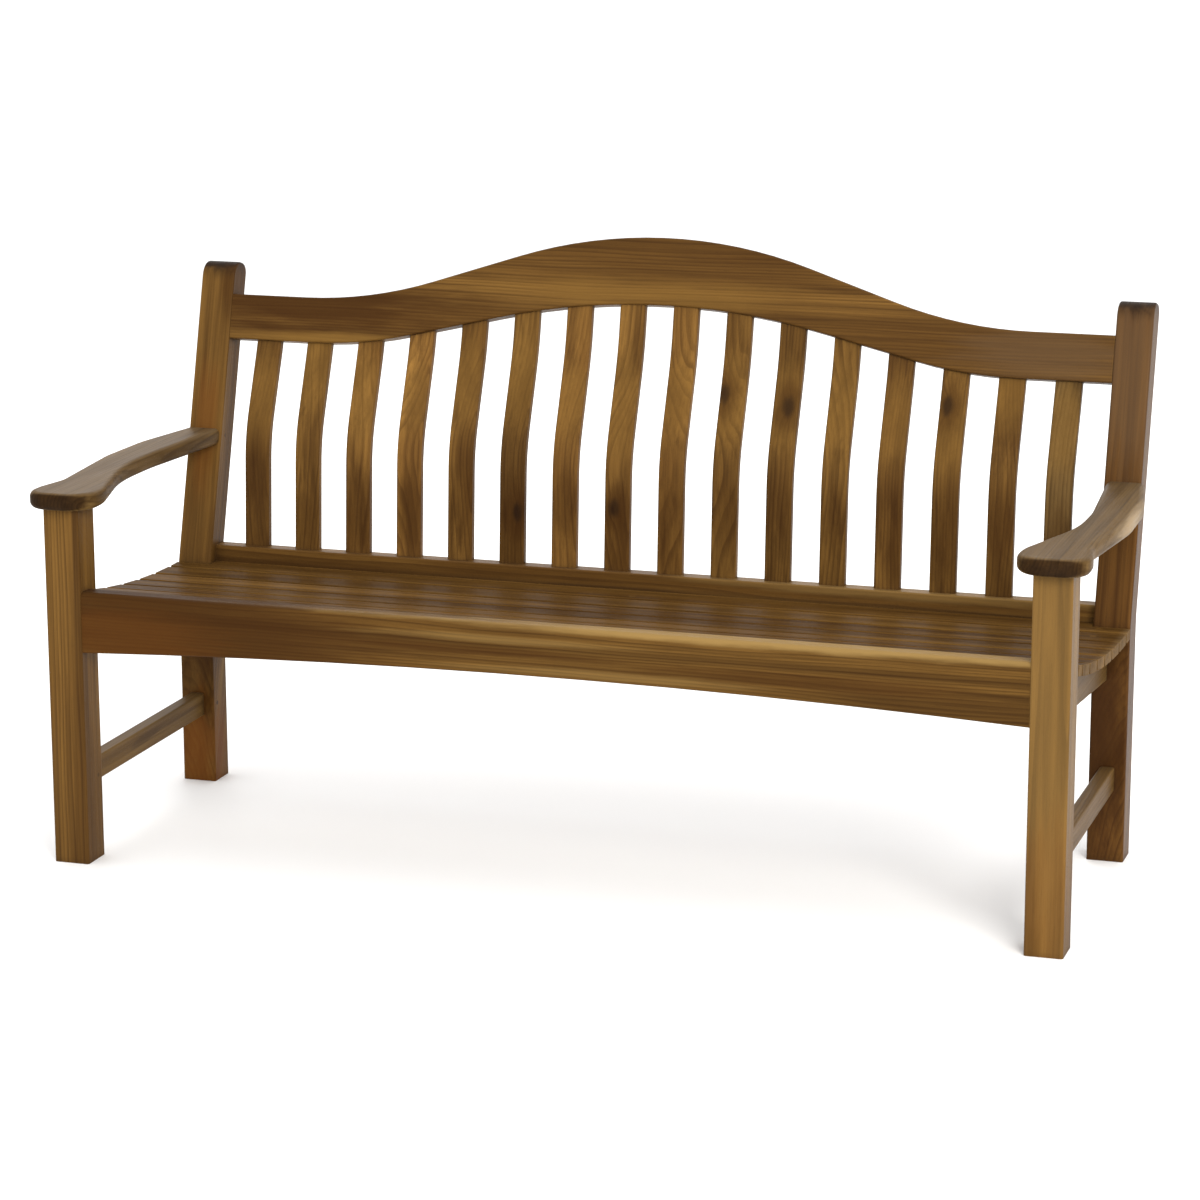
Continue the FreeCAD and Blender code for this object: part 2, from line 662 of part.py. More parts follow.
def seat_screw(place):
    """A round-headed screw under its plug."""
    plug = size("plug_tall")
    head = Part.makeCylinder(size("screw_head") / 2, size("screw_head_tall"),
                             Vector(0, 0, -plug - size("screw_head_tall")))
    shank = Part.makeCylinder(size("screw_shank") / 2, size("screw_long"),
                              Vector(0, 0, -plug - size("screw_long")))
    screw = head.fuse(shank).removeSplitter()
    screw.Placement = place
    return screw


def seat_plug(place):
    """The wooden plug that hides a screw's head."""
    plug = Part.makeCylinder(size("plug_wide") / 2, size("plug_tall"), Vector(0, 0, -size("plug_tall")))
    plug.Placement = place
    return plug


def peg(start, direction, length):
    """A round peg driven through a tenon."""
    return Part.makeCylinder(size("peg_wide") / 2, length, start, direction)


def right_pegs():
    """The pegs of the right-hand joints, each from a face that the sitter doesn't see."""
    forward = Vector(0, -1, 0)
    outward = Vector(1, 0, 0)
    long_peg = size("long_peg")
    short_peg = size("short_peg")
    across = INNER + size("peg_inset")
    leg_back = size("leg_deep")
    in_leg = leg_back - size("side_peg_inset")
    in_post = size("post_front") + size("side_peg_inset")
    post_back = size("post_front") + size("post_deep")
    in_arm_tenon = post_face(size("arm_underside")) + size("side_peg_inset") + size("peg_wide")
    stretcher = size("stretcher_bottom") + size("stretcher_tall") / 2
    rail_tenon = size("rail_shoulder") + size("rail_tenon_tall") / 2
    side_tenon = size("side_shoulder") + size("side_tenon_tall") / 2
    arm_middle = size("arm_underside") + size("arm_thick") / 2
    pegs = [
        peg(Vector(across, leg_back, size("front_rail_bottom") + rail_tenon), forward, long_peg),
        peg(Vector(INNER, in_leg, size("bearer_front_bottom") + side_tenon), outward, short_peg),
        peg(Vector(INNER, in_leg, stretcher), outward, long_peg),
        peg(Vector(INNER, in_post, stretcher), outward, long_peg),
        peg(Vector(INNER, in_post, size("bearer_back_bottom") + side_tenon), outward, short_peg),
        peg(Vector(across, post_back, size("rear_rail_bottom") + rail_tenon), forward, short_peg),
        peg(Vector(INNER, in_arm_tenon, arm_middle), outward, long_peg),
    ]
    for item in pegs:
        item.Placement = BENCH * item.Placement
    crest_tenon = size("crest_shoulder") + size("crest_tenon_tall") / 2
    behind = size("post_upper_deep") - size("crest_setback")
    crest_peg = peg(Vector(across, behind, crest_tenon), forward, size("crest_peg"))
    crest_peg.Placement = crest_frame() * crest_peg.Placement
    return pegs + [crest_peg]


def across_bench(shape):
    """The mirror image of a shape on the other side of the bench."""
    return shape.mirror(Vector(0, 0, 0), Vector(1, 0, 0))


# ---------------------------------------------------------------- assembly

leg_body = front_leg()
post_body = back_post()
front_rail_body = front_rail()
rear_rail_body = rear_rail()
stretcher_body = side_stretcher()
crest_body = crest_rail()
arm_body = arm()
side_rail_body = seat_bearer("side_seat_rail", INSIDE,
                             (size("leg_deep"), size("bearer_front_bottom")),
                             (size("post_front"), size("bearer_back_bottom")),
                             size("side_tenon_long"), size("side_tenon_tall"))
front_rail_back = size("front_rail_setback") + size("front_rail_thick")
bearer_body = seat_bearer("bearer", "-Sizes.bearer_thick / 2",
                          (front_rail_back, size("centre_front_bottom")),
                          (size("rear_rail_front"), size("centre_back_bottom")),
                          size("tenon_thick"), size("centre_tenon_tall"))
back_slats = [back_slat(number) for number in range(1, int(size("back_slat_count")) + 1)]
seat_slats = [seat_slat(number) for number in range(1, int(size("seat_slat_count")) + 1)]

places = screw_places()
screws = group("seat_screws", [seat_screw(place) for place in places], Placement())
plugs = group("seat_plugs", [seat_plug(place) for place in places], Placement())
one_side = right_pegs()
pegs = group("joint_pegs", one_side + [across_bench(item) for item in one_side], Placement())

slats_together = doc.addObject("Part::Compound", "back_slats_together")
slats_together.Links = back_slats

nodes = list(back_slats) + [screws, plugs, pegs]
for number, slat in enumerate(seat_slats, start=1):
    nodes.append(carve(f"seat_slat_{number}", slat, [screws, plugs]))
nodes.append(carve("front_seat_rail", front_rail_body, [bearer_body, pegs]))
nodes.append(carve("rear_seat_rail", rear_rail_body, [slats_together, bearer_body, pegs]))
nodes.append(carve("crest_rail", crest_body, [slats_together, pegs]))
nodes.append(carve("centre_seat_bearer", bearer_body, [screws]))

right_hand = {
    "front_leg": carve("front_leg_right", leg_body, [front_rail_body, side_rail_body, stretcher_body, pegs]),
    "back_post": carve("back_post_right", post_body, [rear_rail_body, side_rail_body, stretcher_body,
                                                      crest_body, arm_body, pegs]),
    "side_seat_rail": carve("side_seat_rail_right", side_rail_body, [screws, pegs]),
    "side_stretcher": carve("side_stretcher_right", stretcher_body, [pegs]),
    "arm": carve("arm_right", arm_body, [leg_body, pegs]),
}
for name, piece in right_hand.items():
    nodes.append(piece)
    nodes.append(mirrored(name + "_left", piece))

doc.recompute()

# ---------------------------------------------------------------- checks and files

for item in doc.Objects:
    if "Invalid" in item.State or "Error" in item.State:
        raise RuntimeError(f"{item.Label} failed: {item.State}")
for node in nodes:
    if node.Shape.isNull() or not node.Shape.isValid():
        raise RuntimeError(node.Label + " has no valid shape")

os.makedirs("parts", exist_ok=True)
for node in nodes:
    node.Shape.exportStep(os.path.join("parts", node.Label + ".step"))

print(f"{len(nodes)} nodes")
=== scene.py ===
import math
import random

import bpy
from mathutils import Matrix, Vector


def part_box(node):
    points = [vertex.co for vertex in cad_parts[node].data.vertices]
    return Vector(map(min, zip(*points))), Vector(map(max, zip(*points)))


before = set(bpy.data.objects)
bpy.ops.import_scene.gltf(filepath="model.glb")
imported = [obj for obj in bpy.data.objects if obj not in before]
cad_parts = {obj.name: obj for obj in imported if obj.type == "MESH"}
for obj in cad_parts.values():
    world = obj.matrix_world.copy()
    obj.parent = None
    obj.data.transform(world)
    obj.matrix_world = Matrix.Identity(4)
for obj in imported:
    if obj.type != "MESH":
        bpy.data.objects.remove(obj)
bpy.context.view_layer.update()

# ------------------------------------------------------------------ nodes in short


def add(tree, kind, **settings):
    """A node with some of its settings."""
    node = tree.nodes.new(kind)
    for name, value in settings.items():
        setattr(node, name, value)
    return node


def feed(tree, socket, value):
    """Link another socket into this one, or give it a plain value."""
    if isinstance(value, bpy.types.NodeSocket):
        tree.links.new(value, socket)
    else:
        socket.default_value = value


def maths(tree, operation, *values, clamp=False):
    """The result of a Math node."""
    node = add(tree, "ShaderNodeMath", operation=operation, use_clamp=clamp)
    for socket, value in zip(node.inputs, values):
        feed(tree, socket, value)
    return node.outputs[0]


def vectors(tree, operation, *values):
    """The result of a Vector Math node."""
    node = add(tree, "ShaderNodeVectorMath", operation=operation)
    for socket, value in zip(node.inputs, values):
        feed(tree, socket, value)
    return node.outputs["Value" if operation in ("LENGTH", "DOT_PRODUCT") else "Vector"]


def noise(tree, place, stretch, detail=3.0, rough=0.55, kind="Fac"):
    """Noise whose cells per metre along the three axes are given by stretch."""
    node = add(tree, "ShaderNodeTexNoise")
    feed(tree, node.inputs["Vector"], vectors(tree, "MULTIPLY", place, stretch))
    node.inputs["Scale"].default_value = 1.0
    node.inputs["Detail"].default_value = detail
    node.inputs["Roughness"].default_value = rough
    return node.outputs[kind]


def between(tree, value, low, high, start=0.0, end=1.0):
    """A value eased from start to end as the input goes from low to high."""
    node = add(tree, "ShaderNodeMapRange", interpolation_type="SMOOTHSTEP")
    for socket, number in zip(node.inputs, (value, low, high, start, end)):
        feed(tree, socket, number)
    return node.outputs[0]


def mix(tree, factor, first, second, blend="MIX"):
    """Two colours mixed by a factor."""
    node = add(tree, "ShaderNodeMix", data_type="RGBA", blend_type=blend)
    for index, value in ((0, factor), (6, first), (7, second)):
        feed(tree, node.inputs[index], value)
    return node.outputs[2]


# ------------------------------------------------------------------ the wood

# noise cells per metre, along the grain and twice across it
SWAY_CELLS = (1.3, 9, 9)
UNEVEN_CELLS = (0.3, 22, 22)
BROAD_CELLS = (1.1, 13, 13)
BAND_CELLS = (0.8, 46, 46)
STREAK_CELLS = (1.6, 70, 70)
FIBRE_CELLS = (7, 330, 330)
PORE_CELLS = (55, 1500, 1500)
GREYING_CELLS = (5, 30, 30)
EDGE_WEAR_AND_HIGHLIGHT_CELLS = (16, 60, 60)
STAIN_CELLS = (6, 55, 55)
STEEL_CELLS = (900, 900, 900)
FLOOR_CELLS = (2, 2, 2)

NOISE_MIDDLE = (0.5, 0.5, 0.5)
# how far the rings sway across the grain, in metres
SWAY = (0.0, 0.030, 0.030)
KNOT_STRETCH = (0.42, 1, 1)
TRUNK_TAPER = 0.006

BLACKENED = (0.03, 0.014, 0.006, 1)
KNOT_HEART = (0.022, 0.010, 0.005, 1)
WEATHERED = (0.22, 0.165, 0.110, 1)
END_GRAIN = (0.22, 0.17, 0.16, 1)
# colour and reach of the painted shade in joints and corners, and the radius of the worn, highlighted edges
CREVICE_SHADE = (0.028, 0.016, 0.010, 1)
EDGE_WEAR_AND_HIGHLIGHT_RADIUS = 0.0035
CREVICE_SHADE_REACH = 0.018

WOOD_INPUTS = (
    ("Place", "NodeSocketVector"),
    ("Seed", "NodeSocketVector"),
    ("Axis", "NodeSocketVector"),
    ("Pith", "NodeSocketVector"),
    ("Ring", "NodeSocketFloat"),
    ("Figure", "NodeSocketFloat"),
    ("Streaks", "NodeSocketFloat"),
    ("Light", "NodeSocketColor"),
    ("Body", "NodeSocketColor"),
    ("Dark", "NodeSocketColor"),
    ("Knot", "NodeSocketVector"),
    ("Knot size", "NodeSocketFloat"),
    ("Silver", "NodeSocketFloat"),
    ("End grain", "NodeSocketFloat"),
)


def hardwood():
    """Oiled hardwood as a solid: growth rings round a pith, streaks, fibres, pores, knots, worn edges with a
    painted highlight, and painted shade in joints and corners.
    """
    tree = bpy.data.node_groups.new("hardwood", "ShaderNodeTree")
    for name, kind in WOOD_INPUTS:
        tree.interface.new_socket(name, in_out="INPUT", socket_type=kind)
    for name, kind in (("Color", "NodeSocketColor"), ("Roughness", "NodeSocketFloat"),
                       ("Height", "NodeSocketFloat")):
        tree.interface.new_socket(name, in_out="OUTPUT", socket_type=kind)
    given = add(tree, "NodeGroupInput").outputs
    result = add(tree, "NodeGroupOutput").inputs
    shape = add(tree, "ShaderNodeNewGeometry").outputs

    loose = vectors(tree, "ADD", given["Place"], given["Seed"])
    sway = vectors(tree, "SUBTRACT", noise(tree, loose, SWAY_CELLS, 2.0, kind="Color"), NOISE_MIDDLE)
    bent = vectors(tree, "MULTIPLY_ADD", sway, SWAY, given["Place"])

    # a knot pushes the rings aside and darkens the wood at its heart
    from_knot = vectors(tree, "MULTIPLY", vectors(tree, "SUBTRACT", bent, given["Knot"]), KNOT_STRETCH)
    apart = maths(tree, "DIVIDE", vectors(tree, "LENGTH", from_knot),
                  maths(tree, "MAXIMUM", given["Knot size"], 0.0001))
    swell = maths(tree, "EXPONENT", maths(tree, "MULTIPLY", maths(tree, "MULTIPLY", apart, apart), -0.35))
    swell = maths(tree, "MULTIPLY", swell, given["Knot size"])
    heart = between(tree, apart, 0.35, 1.25, 1.0, 0.0)

    # growth rings, unevenly spaced, each fading into a darker late edge
    across = vectors(tree, "MULTIPLY", vectors(tree, "SUBTRACT", bent, given["Pith"]), (0, 1, 1))
    radius = maths(tree, "ADD", vectors(tree, "LENGTH", across), maths(tree, "MULTIPLY", swell, 1.6))
    along = vectors(tree, "DOT_PRODUCT", given["Place"], (1, 0, 0))
    taper = maths(tree, "MULTIPLY", along, TRUNK_TAPER)
    rings = maths(tree, "DIVIDE", maths(tree, "ADD", radius, taper), given["Ring"])
    uneven = noise(tree, loose, UNEVEN_CELLS, 2.0)
    rings = maths(tree, "MULTIPLY_ADD", uneven, 2.2, rings)
    phase = maths(tree, "FRACT", rings)
    late = maths(tree, "MULTIPLY", between(tree, phase, 0.25, 0.88), between(tree, phase, 0.9, 1.0, 1.0, 0.0))
    year = add(tree, "ShaderNodeTexWhiteNoise", noise_dimensions="1D")
    feed(tree, year.inputs["W"], maths(tree, "FLOOR", rings))
    late = maths(tree, "MULTIPLY", late, maths(tree, "MULTIPLY_ADD", year.outputs["Value"], 0.75, 0.25))

    # broad patches, dark streaks, fibres and pores, all drawn out along the grain
    broad = noise(tree, loose, BROAD_CELLS, 3.0)
    bands = noise(tree, loose, BAND_CELLS, 3.0, 0.6)
    fibres = noise(tree, loose, FIBRE_CELLS, 4.0, 0.65)
    pores = between(tree, noise(tree, loose, PORE_CELLS, 2.0), 0.60, 0.70)
    streaks = between(tree, noise(tree, loose, STREAK_CELLS, 4.0, 0.6), 0.54, 0.74)
    streaks = maths(tree, "MULTIPLY", streaks, given["Streaks"])

    tone = mix(tree, between(tree, broad, 0.36, 0.64), given["Body"], given["Light"])
    tone = mix(tree, between(tree, bands, 0.36, 0.70, 0.0, 0.55), tone, given["Dark"])
    tone = mix(tree, maths(tree, "MULTIPLY", late, given["Figure"], clamp=True), tone, given["Dark"])
    tone = mix(tree, streaks, tone, given["Dark"])
    tone = mix(tree, between(tree, fibres, 0.35, 0.75, 0.0, 0.30), tone, given["Dark"])
    tone = mix(tree, maths(tree, "MULTIPLY", pores, 0.22), tone, BLACKENED)
    in_knot = mix(tree, between(tree, maths(tree, "FRACT", maths(tree, "MULTIPLY", apart, 4.0)), 0.2, 1.0),
                  KNOT_HEART, given["Dark"])
    tone = mix(tree, maths(tree, "MULTIPLY", heart, 0.85), tone, in_knot)

    # the upward faces have greyed a little, end grain has drunk more oil
    up = between(tree, vectors(tree, "DOT_PRODUCT", shape["Normal"], (0, 0, 1)), 0.5, 0.95)
    patchy = between(tree, noise(tree, loose, GREYING_CELLS, 3.0), 0.3, 0.75, 0.4, 1.0)
    grey = maths(tree, "MULTIPLY", maths(tree, "MULTIPLY", up, patchy), given["Silver"])
    tone = mix(tree, grey, tone, WEATHERED)
    facing = maths(tree, "ABSOLUTE", vectors(tree, "DOT_PRODUCT", shape["Normal"], given["Axis"]))
    end = between(tree, facing, 0.40, 0.75)
    tone = mix(tree, maths(tree, "MULTIPLY", end, given["End grain"]), tone, END_GRAIN, "MULTIPLY")

    # edges are worn lighter and carry a painted highlight; joints and corners get painted shade
    soft = add(tree, "ShaderNodeBevel", samples=4)
    soft.inputs["Radius"].default_value = EDGE_WEAR_AND_HIGHLIGHT_RADIUS
    bend = vectors(tree, "DOT_PRODUCT", soft.outputs["Normal"], shape["Normal"])
    worn_and_highlit_edge = maths(tree, "MULTIPLY", between(tree, bend, 0.995, 0.90, 0.0, 1.0),
                 between(tree, noise(tree, loose, EDGE_WEAR_AND_HIGHLIGHT_CELLS, 3.0), 0.35, 0.7, 0.10, 0.55))
    tone = mix(tree, worn_and_highlit_edge, tone, given["Light"])
    # painted shade from ambient occlusion, darker in joints and corners; it also roughens them
    hollow = add(tree, "ShaderNodeAmbientOcclusion", samples=4)
    hollow.inputs["Distance"].default_value = CREVICE_SHADE_REACH
    crevice_shade = between(tree, hollow.outputs["AO"], 0.25, 0.85, 0.60, 0.0)
    tone = mix(tree, crevice_shade, tone, CREVICE_SHADE)

    feed(tree, result["Color"], tone)
    rough = maths(tree, "MULTIPLY_ADD", fibres, 0.22, 0.30)
    rough = maths(tree, "MULTIPLY_ADD", end, 0.15, maths(tree, "MULTIPLY_ADD", grey, 0.35, rough))
    feed(tree, result["Roughness"], maths(tree, "MULTIPLY_ADD", crevice_shade, 0.2, rough, clamp=True))
    height = maths(tree, "MULTIPLY_ADD", fibres, 0.6, maths(tree, "MULTIPLY", late, 0.5))
    height = maths(tree, "MULTIPLY_ADD", broad, 1.6, height)
    height = maths(tree, "MULTIPLY_ADD", pores, -0.5, height)
    feed(tree, result["Height"], height)
    return tree


HARDWOOD = hardwood()

# light, body and dark of each kind of board
TONES = {
    "honey": ((0.225, 0.114, 0.0270), (0.120, 0.057, 0.0135), (0.038, 0.016, 0.0050)),
    "russet": ((0.175, 0.078, 0.0170), (0.098, 0.040, 0.0090), (0.034, 0.012, 0.0035)),
    "tan": ((0.215, 0.125, 0.0420), (0.135, 0.074, 0.0220), (0.050, 0.025, 0.0080)),
}
# the sapwood colour also paints light on the back slats above their bend, and the heartwood colour paints
# shade below it and on the left post's inner face
SAPWOOD_AND_PAINTED_LIGHT = (0.24, 0.125, 0.028, 1)
STRAW = (0.36, 0.225, 0.075, 1)
HEARTWOOD_AND_PAINTED_SHADE = (0.050, 0.0185, 0.0045, 1)
AMBER = (0.17, 0.055, 0.009, 1)
# painted light for faces turned towards the light on the right
PAINTED_SIDE_LIGHT = (0.38, 0.27, 0.150, 1)
GREYED = (0.145, 0.088, 0.045, 1)
SOOT = (0.018, 0.010, 0.006, 1)
OIL_GLOSS = (1.0, 0.86, 0.68, 1)
# growth rings: metres from one to the next, and how strongly they show
RING_WIDTH = 0.006
FIGURE = 0.55
# the fibres' relief: strength, and height in metres
RELIEF = 0.35
RELIEF_HEIGHT = 0.0006
# the studio is lit so brightly that shadows on the floor stay pale, and the wood is darker to match
BRIGHTNESS = 1.25
UNDER_BRIGHT_LIGHT = (1 / BRIGHTNESS, 1 / BRIGHTNESS, 1 / BRIGHTNESS, 1)


def stain(tree, colour, here, place, centre, reach, shade, strength):
    """A soft patch of another shade, ragged along the grain; centre and reach are in metres."""
    ragged = vectors(tree, "SUBTRACT", noise(tree, place, STAIN_CELLS, 4.0, 0.6, "Color"), NOISE_MIDDLE)
    away = vectors(tree, "DIVIDE", vectors(tree, "SUBTRACT", here, centre), reach)
    away = vectors(tree, "MULTIPLY_ADD", ragged, (0.9, 0.9, 0.9), away)
    amount = between(tree, vectors(tree, "LENGTH", away), 0.35, 1.05, strength, 0.0)
    return mix(tree, amount, colour, shade)


def wood(node_name, grain, tone, shade=1.0, streaks=0.55, silver=0.10, knot=None, knot_size=0.0,
         shine=0.06, end_grain=0.9, stains=()):
    """Give a CAD node its own board: grain along a direction, cut from its own place in a tree.

    Each stain is its centre, its reach, its colour and its strength.
    """
    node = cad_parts[node_name]
    low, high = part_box(node_name)
    draw = random.Random(node_name)
    material = bpy.data.materials.new("wood_" + node_name)
    material.use_nodes = True
    tree = material.node_tree
    tree.nodes.clear()
    grain = Vector(grain).normalized()
    turn = Vector((1, 0, 0)).rotation_difference(grain)
    here = add(tree, "ShaderNodeTexCoord").outputs["Object"]
    local = add(tree, "ShaderNodeMapping", vector_type="TEXTURE")
    feed(tree, local.inputs["Vector"], here)
    middle = (low + high) / 2
    local.inputs["Location"].default_value = middle
    local.inputs["Rotation"].default_value = turn.to_euler()
    group = add(tree, "ShaderNodeGroup", node_tree=HARDWOOD)
    feed(tree, group.inputs["Place"], local.outputs[0])
    angle = draw.uniform(0, 2 * math.pi)
    reach = draw.uniform(0.05, 0.14)
    light, body, dark = TONES[tone]
    values = {
        "Seed": [draw.uniform(-9, 9) for _ in range(3)],
        "Axis": grain,
        "Pith": (0, reach * math.cos(angle), reach * math.sin(angle)),
        "Ring": RING_WIDTH * draw.uniform(0.85, 1.2),
        "Figure": FIGURE,
        "Streaks": streaks,
        "Light": [c * shade for c in light] + [1],
        "Body": [c * shade for c in body] + [1],
        "Dark": [c * shade for c in dark] + [1],
        "Knot": turn.inverted() @ (Vector(knot) - middle) if knot else (0, 0, 0),
        "Knot size": knot_size,
        "Silver": silver,
        "End grain": end_grain,
    }
    for name, value in values.items():
        group.inputs[name].default_value = value
    bump = add(tree, "ShaderNodeBump")
    bump.inputs["Strength"].default_value = RELIEF
    bump.inputs["Distance"].default_value = RELIEF_HEIGHT
    feed(tree, bump.inputs["Height"], group.outputs["Height"])
    colour = group.outputs["Color"]
    for patch in stains:
        colour = stain(tree, colour, here, local.outputs[0], *patch)
    colour = mix(tree, 1.0, colour, UNDER_BRIGHT_LIGHT, "MULTIPLY")
    skin = add(tree, "ShaderNodeBsdfPrincipled")
    feed(tree, skin.inputs["Base Color"], colour)
    feed(tree, skin.inputs["Roughness"], group.outputs["Roughness"])
    feed(tree, skin.inputs["Normal"], bump.outputs["Normal"])
    skin.inputs["Specular IOR Level"].default_value = shine / BRIGHTNESS
    skin.inputs["Specular Tint"].default_value = OIL_GLOSS
    out = add(tree, "ShaderNodeOutputMaterial")
    feed(tree, out.inputs["Surface"], skin.outputs[0])
    put_on(node, material)


def put_on(node, material):
    """Use one material all over a node."""
    node.data.materials.clear()
    node.data.materials.append(material)
    for face in node.data.polygons:
        face.material_index = 0


def leaning(degrees):
    """Upwards, leaning back by an angle."""
    return (0, math.sin(math.radians(degrees)), math.cos(math.radians(degrees)))


ALONG = (1, 0, 0)
DEPTH = (0, 1, 0)
UP = (0, 0, 1)
SLAT_GRAIN = leaning(9)
POST_GRAIN = leaning(15.5)

# ------------------------------------------------------------------ every board of the bench

wood("front_leg_left", UP, "honey", 1.02, streaks=0.4)
wood("front_leg_right", UP, "honey", 1.07, streaks=0.3, stains=(
    ((0.795, -0.34, 0.38), (0.12, 0.12, 0.50), STRAW, 0.22),
    ((0.795, -0.34, 0.10), (0.05, 0.10, 0.16), AMBER, 0.20),
))
wood("back_post_left", POST_GRAIN, "honey", 0.98, stains=(
    ((-0.795, 0.19, 0.06), (0.06, 0.06, 0.15), AMBER, 0.75),
    ((-0.795, 0.19, 0.28), (0.06, 0.08, 0.12), HEARTWOOD_AND_PAINTED_SHADE, 0.75),
    ((-0.795, 0.25, 0.60), (0.03, 0.10, 0.16), AMBER, 0.45),
    # painted shade on the post's inner side face near its top
    ((-0.765, 0.31, 0.86), (0.03, 0.10, 0.10), HEARTWOOD_AND_PAINTED_SHADE, 0.60),
    ((-0.795, 0.335, 0.915), (0.14, 0.14, 0.055), SOOT, 0.95),
))
wood("back_post_right", POST_GRAIN, "russet", 0.95, shine=0.09, stains=(
    ((0.785, 0.19, 0.24), (0.05, 0.09, 0.24), HEARTWOOD_AND_PAINTED_SHADE, 0.80),
    ((0.795, 0.30, 0.76), (0.09, 0.14, 0.24), GREYED, 0.40),
    ((0.795, 0.335, 0.915), (0.14, 0.14, 0.055), SOOT, 0.95),
))
wood("front_seat_rail", ALONG, "honey", 0.82, streaks=0.7, shine=0.035, stains=(
    ((-0.62, -0.34, 0.40), (0.50, 0.10, 0.12), HEARTWOOD_AND_PAINTED_SHADE, 0.72),
    ((-0.70, -0.34, 0.38), (0.22, 0.10, 0.07), AMBER, 0.22),
    ((-0.10, -0.34, 0.405), (0.32, 0.10, 0.010), HEARTWOOD_AND_PAINTED_SHADE, 0.60),
    ((0.42, -0.34, 0.395), (0.34, 0.10, 0.016), HEARTWOOD_AND_PAINTED_SHADE, 0.55),
    ((-0.08, -0.34, 0.425), (0.26, 0.10, 0.008), STRAW, 0.28),
    ((0.10, -0.34, 0.380), (0.30, 0.10, 0.009), STRAW, 0.25),
    ((-0.05, -0.34, 0.352), (0.55, 0.10, 0.022), AMBER, 0.50),
    # painted highlight along the rounded top edge
    ((0.45, -0.33, 0.452), (0.85, 0.05, 0.014), STRAW, 0.80),
))
wood("rear_seat_rail", ALONG, "honey", 1.22, stains=(
    ((-0.60, 0.2, 0.38), (0.40, 0.05, 0.06), HEARTWOOD_AND_PAINTED_SHADE, 0.50),
    ((0.45, 0.2, 0.415), (0.50, 0.05, 0.016), STRAW, 0.35),
))
wood("crest_rail", ALONG, "honey", 1.1, stains=(
    ((-0.62, 0.27, 0.83), (0.38, 0.12, 0.065), HEARTWOOD_AND_PAINTED_SHADE, 0.85),
    ((-0.58, 0.27, 0.768), (0.22, 0.12, 0.018), SAPWOOD_AND_PAINTED_LIGHT, 0.60),
    ((0.66, 0.27, 0.80), (0.20, 0.12, 0.06), GREYED, 0.40),
    ((0.30, 0.29, 0.94), (0.35, 0.12, 0.03), HEARTWOOD_AND_PAINTED_SHADE, 0.40),
    ((-0.02, 0.27, 0.87), (0.40, 0.12, 0.035), SAPWOOD_AND_PAINTED_LIGHT, 0.45),
))
wood("centre_seat_bearer", DEPTH, "honey", 0.8)
for side in ("left", "right"):
    wood("side_seat_rail_" + side, DEPTH, "tan")
    wood("side_stretcher_" + side, DEPTH, "tan", 1.2, shine=0.05)
wood("arm_left", DEPTH, "tan", 0.84, silver=0.30, shine=0.05, stains=(
    ((-0.80, -0.375, 0.590), (0.11, 0.022, 0.030), SOOT, 0.45),
))
wood("arm_right", DEPTH, "tan", 0.8, silver=0.30, shine=0.05, stains=(
    # painted light on the outward side face, which faces the light
    ((0.868, -0.06, 0.596), (0.024, 0.36, 0.06), PAINTED_SIDE_LIGHT, 0.95),
    ((0.80, -0.375, 0.590), (0.11, 0.022, 0.030), SOOT, 0.55),
))

SLAT_SHADES = (1.2, 1.15, 1.5, 1.8, 1.25, 1.0, 1.6, 1.3, 1.45, 1.05, 0.95, 0.95, 1.25, 1.0, 1.1, 0.85)
# dark knots: slat, distance from its middle, height, size
KNOTS = {6: (0.010, 0.505, 0.006), 8: (-0.006, 0.520, 0.004), 10: (-0.013, 0.715, 0.007),
         11: (0.004, 0.700, 0.007), 14: (-0.008, 0.715, 0.008)}
# heights and depths along the front of a back slat
SLAT_FRONT = ((0.402, 0.211), (0.608, 0.221), (0.772, 0.290), (0.880, 0.313))


def slat_depth(height):
    """Y of the back slats' front faces at a height."""
    for (low, near), (high, far) in zip(SLAT_FRONT, SLAT_FRONT[1:]):
        if height <= high:
            break
    return near + (far - near) * (height - low) / (high - low)


for number, shade in enumerate(SLAT_SHADES, start=1):
    name = f"back_slat_{number:02d}"
    low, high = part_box(name)
    across = (low.x + high.x) / 2
    vary = random.Random(number)
    # painted light above the bend, where the slat leans back to face up, and painted shade below it
    patches = [
        ((across, 0.25, vary.uniform(0.66, 0.74)), (0.04, 0.2, vary.uniform(0.08, 0.13)), SAPWOOD_AND_PAINTED_LIGHT, 0.35),
        ((across, 0.25, vary.uniform(0.46, 0.56)), (0.04, 0.2, vary.uniform(0.07, 0.12)), HEARTWOOD_AND_PAINTED_SHADE, 0.40),
    ]
    knot, size = None, 0.0
    if number in KNOTS:
        shift, height, size = KNOTS[number]
        knot = (across + shift, slat_depth(height), height)
        patches.append((knot, (0.030, 0.2, 0.055), HEARTWOOD_AND_PAINTED_SHADE, 0.55))
        patches.append((knot, (0.013, 0.2, 0.022), SOOT, 0.60))
    tone = "tan" if number == 16 else "honey"
    wood(name, SLAT_GRAIN, tone, shade, knot=knot, knot_size=size, stains=patches)

# from the front edge to the back
SEAT_SHADES = (1.0, 0.85, 0.95, 1.05, 0.9, 1.0, 0.85, 0.95)
SEAT_LOOK = {"silver": 0.0, "shine": 0.009, "end_grain": 0.0}
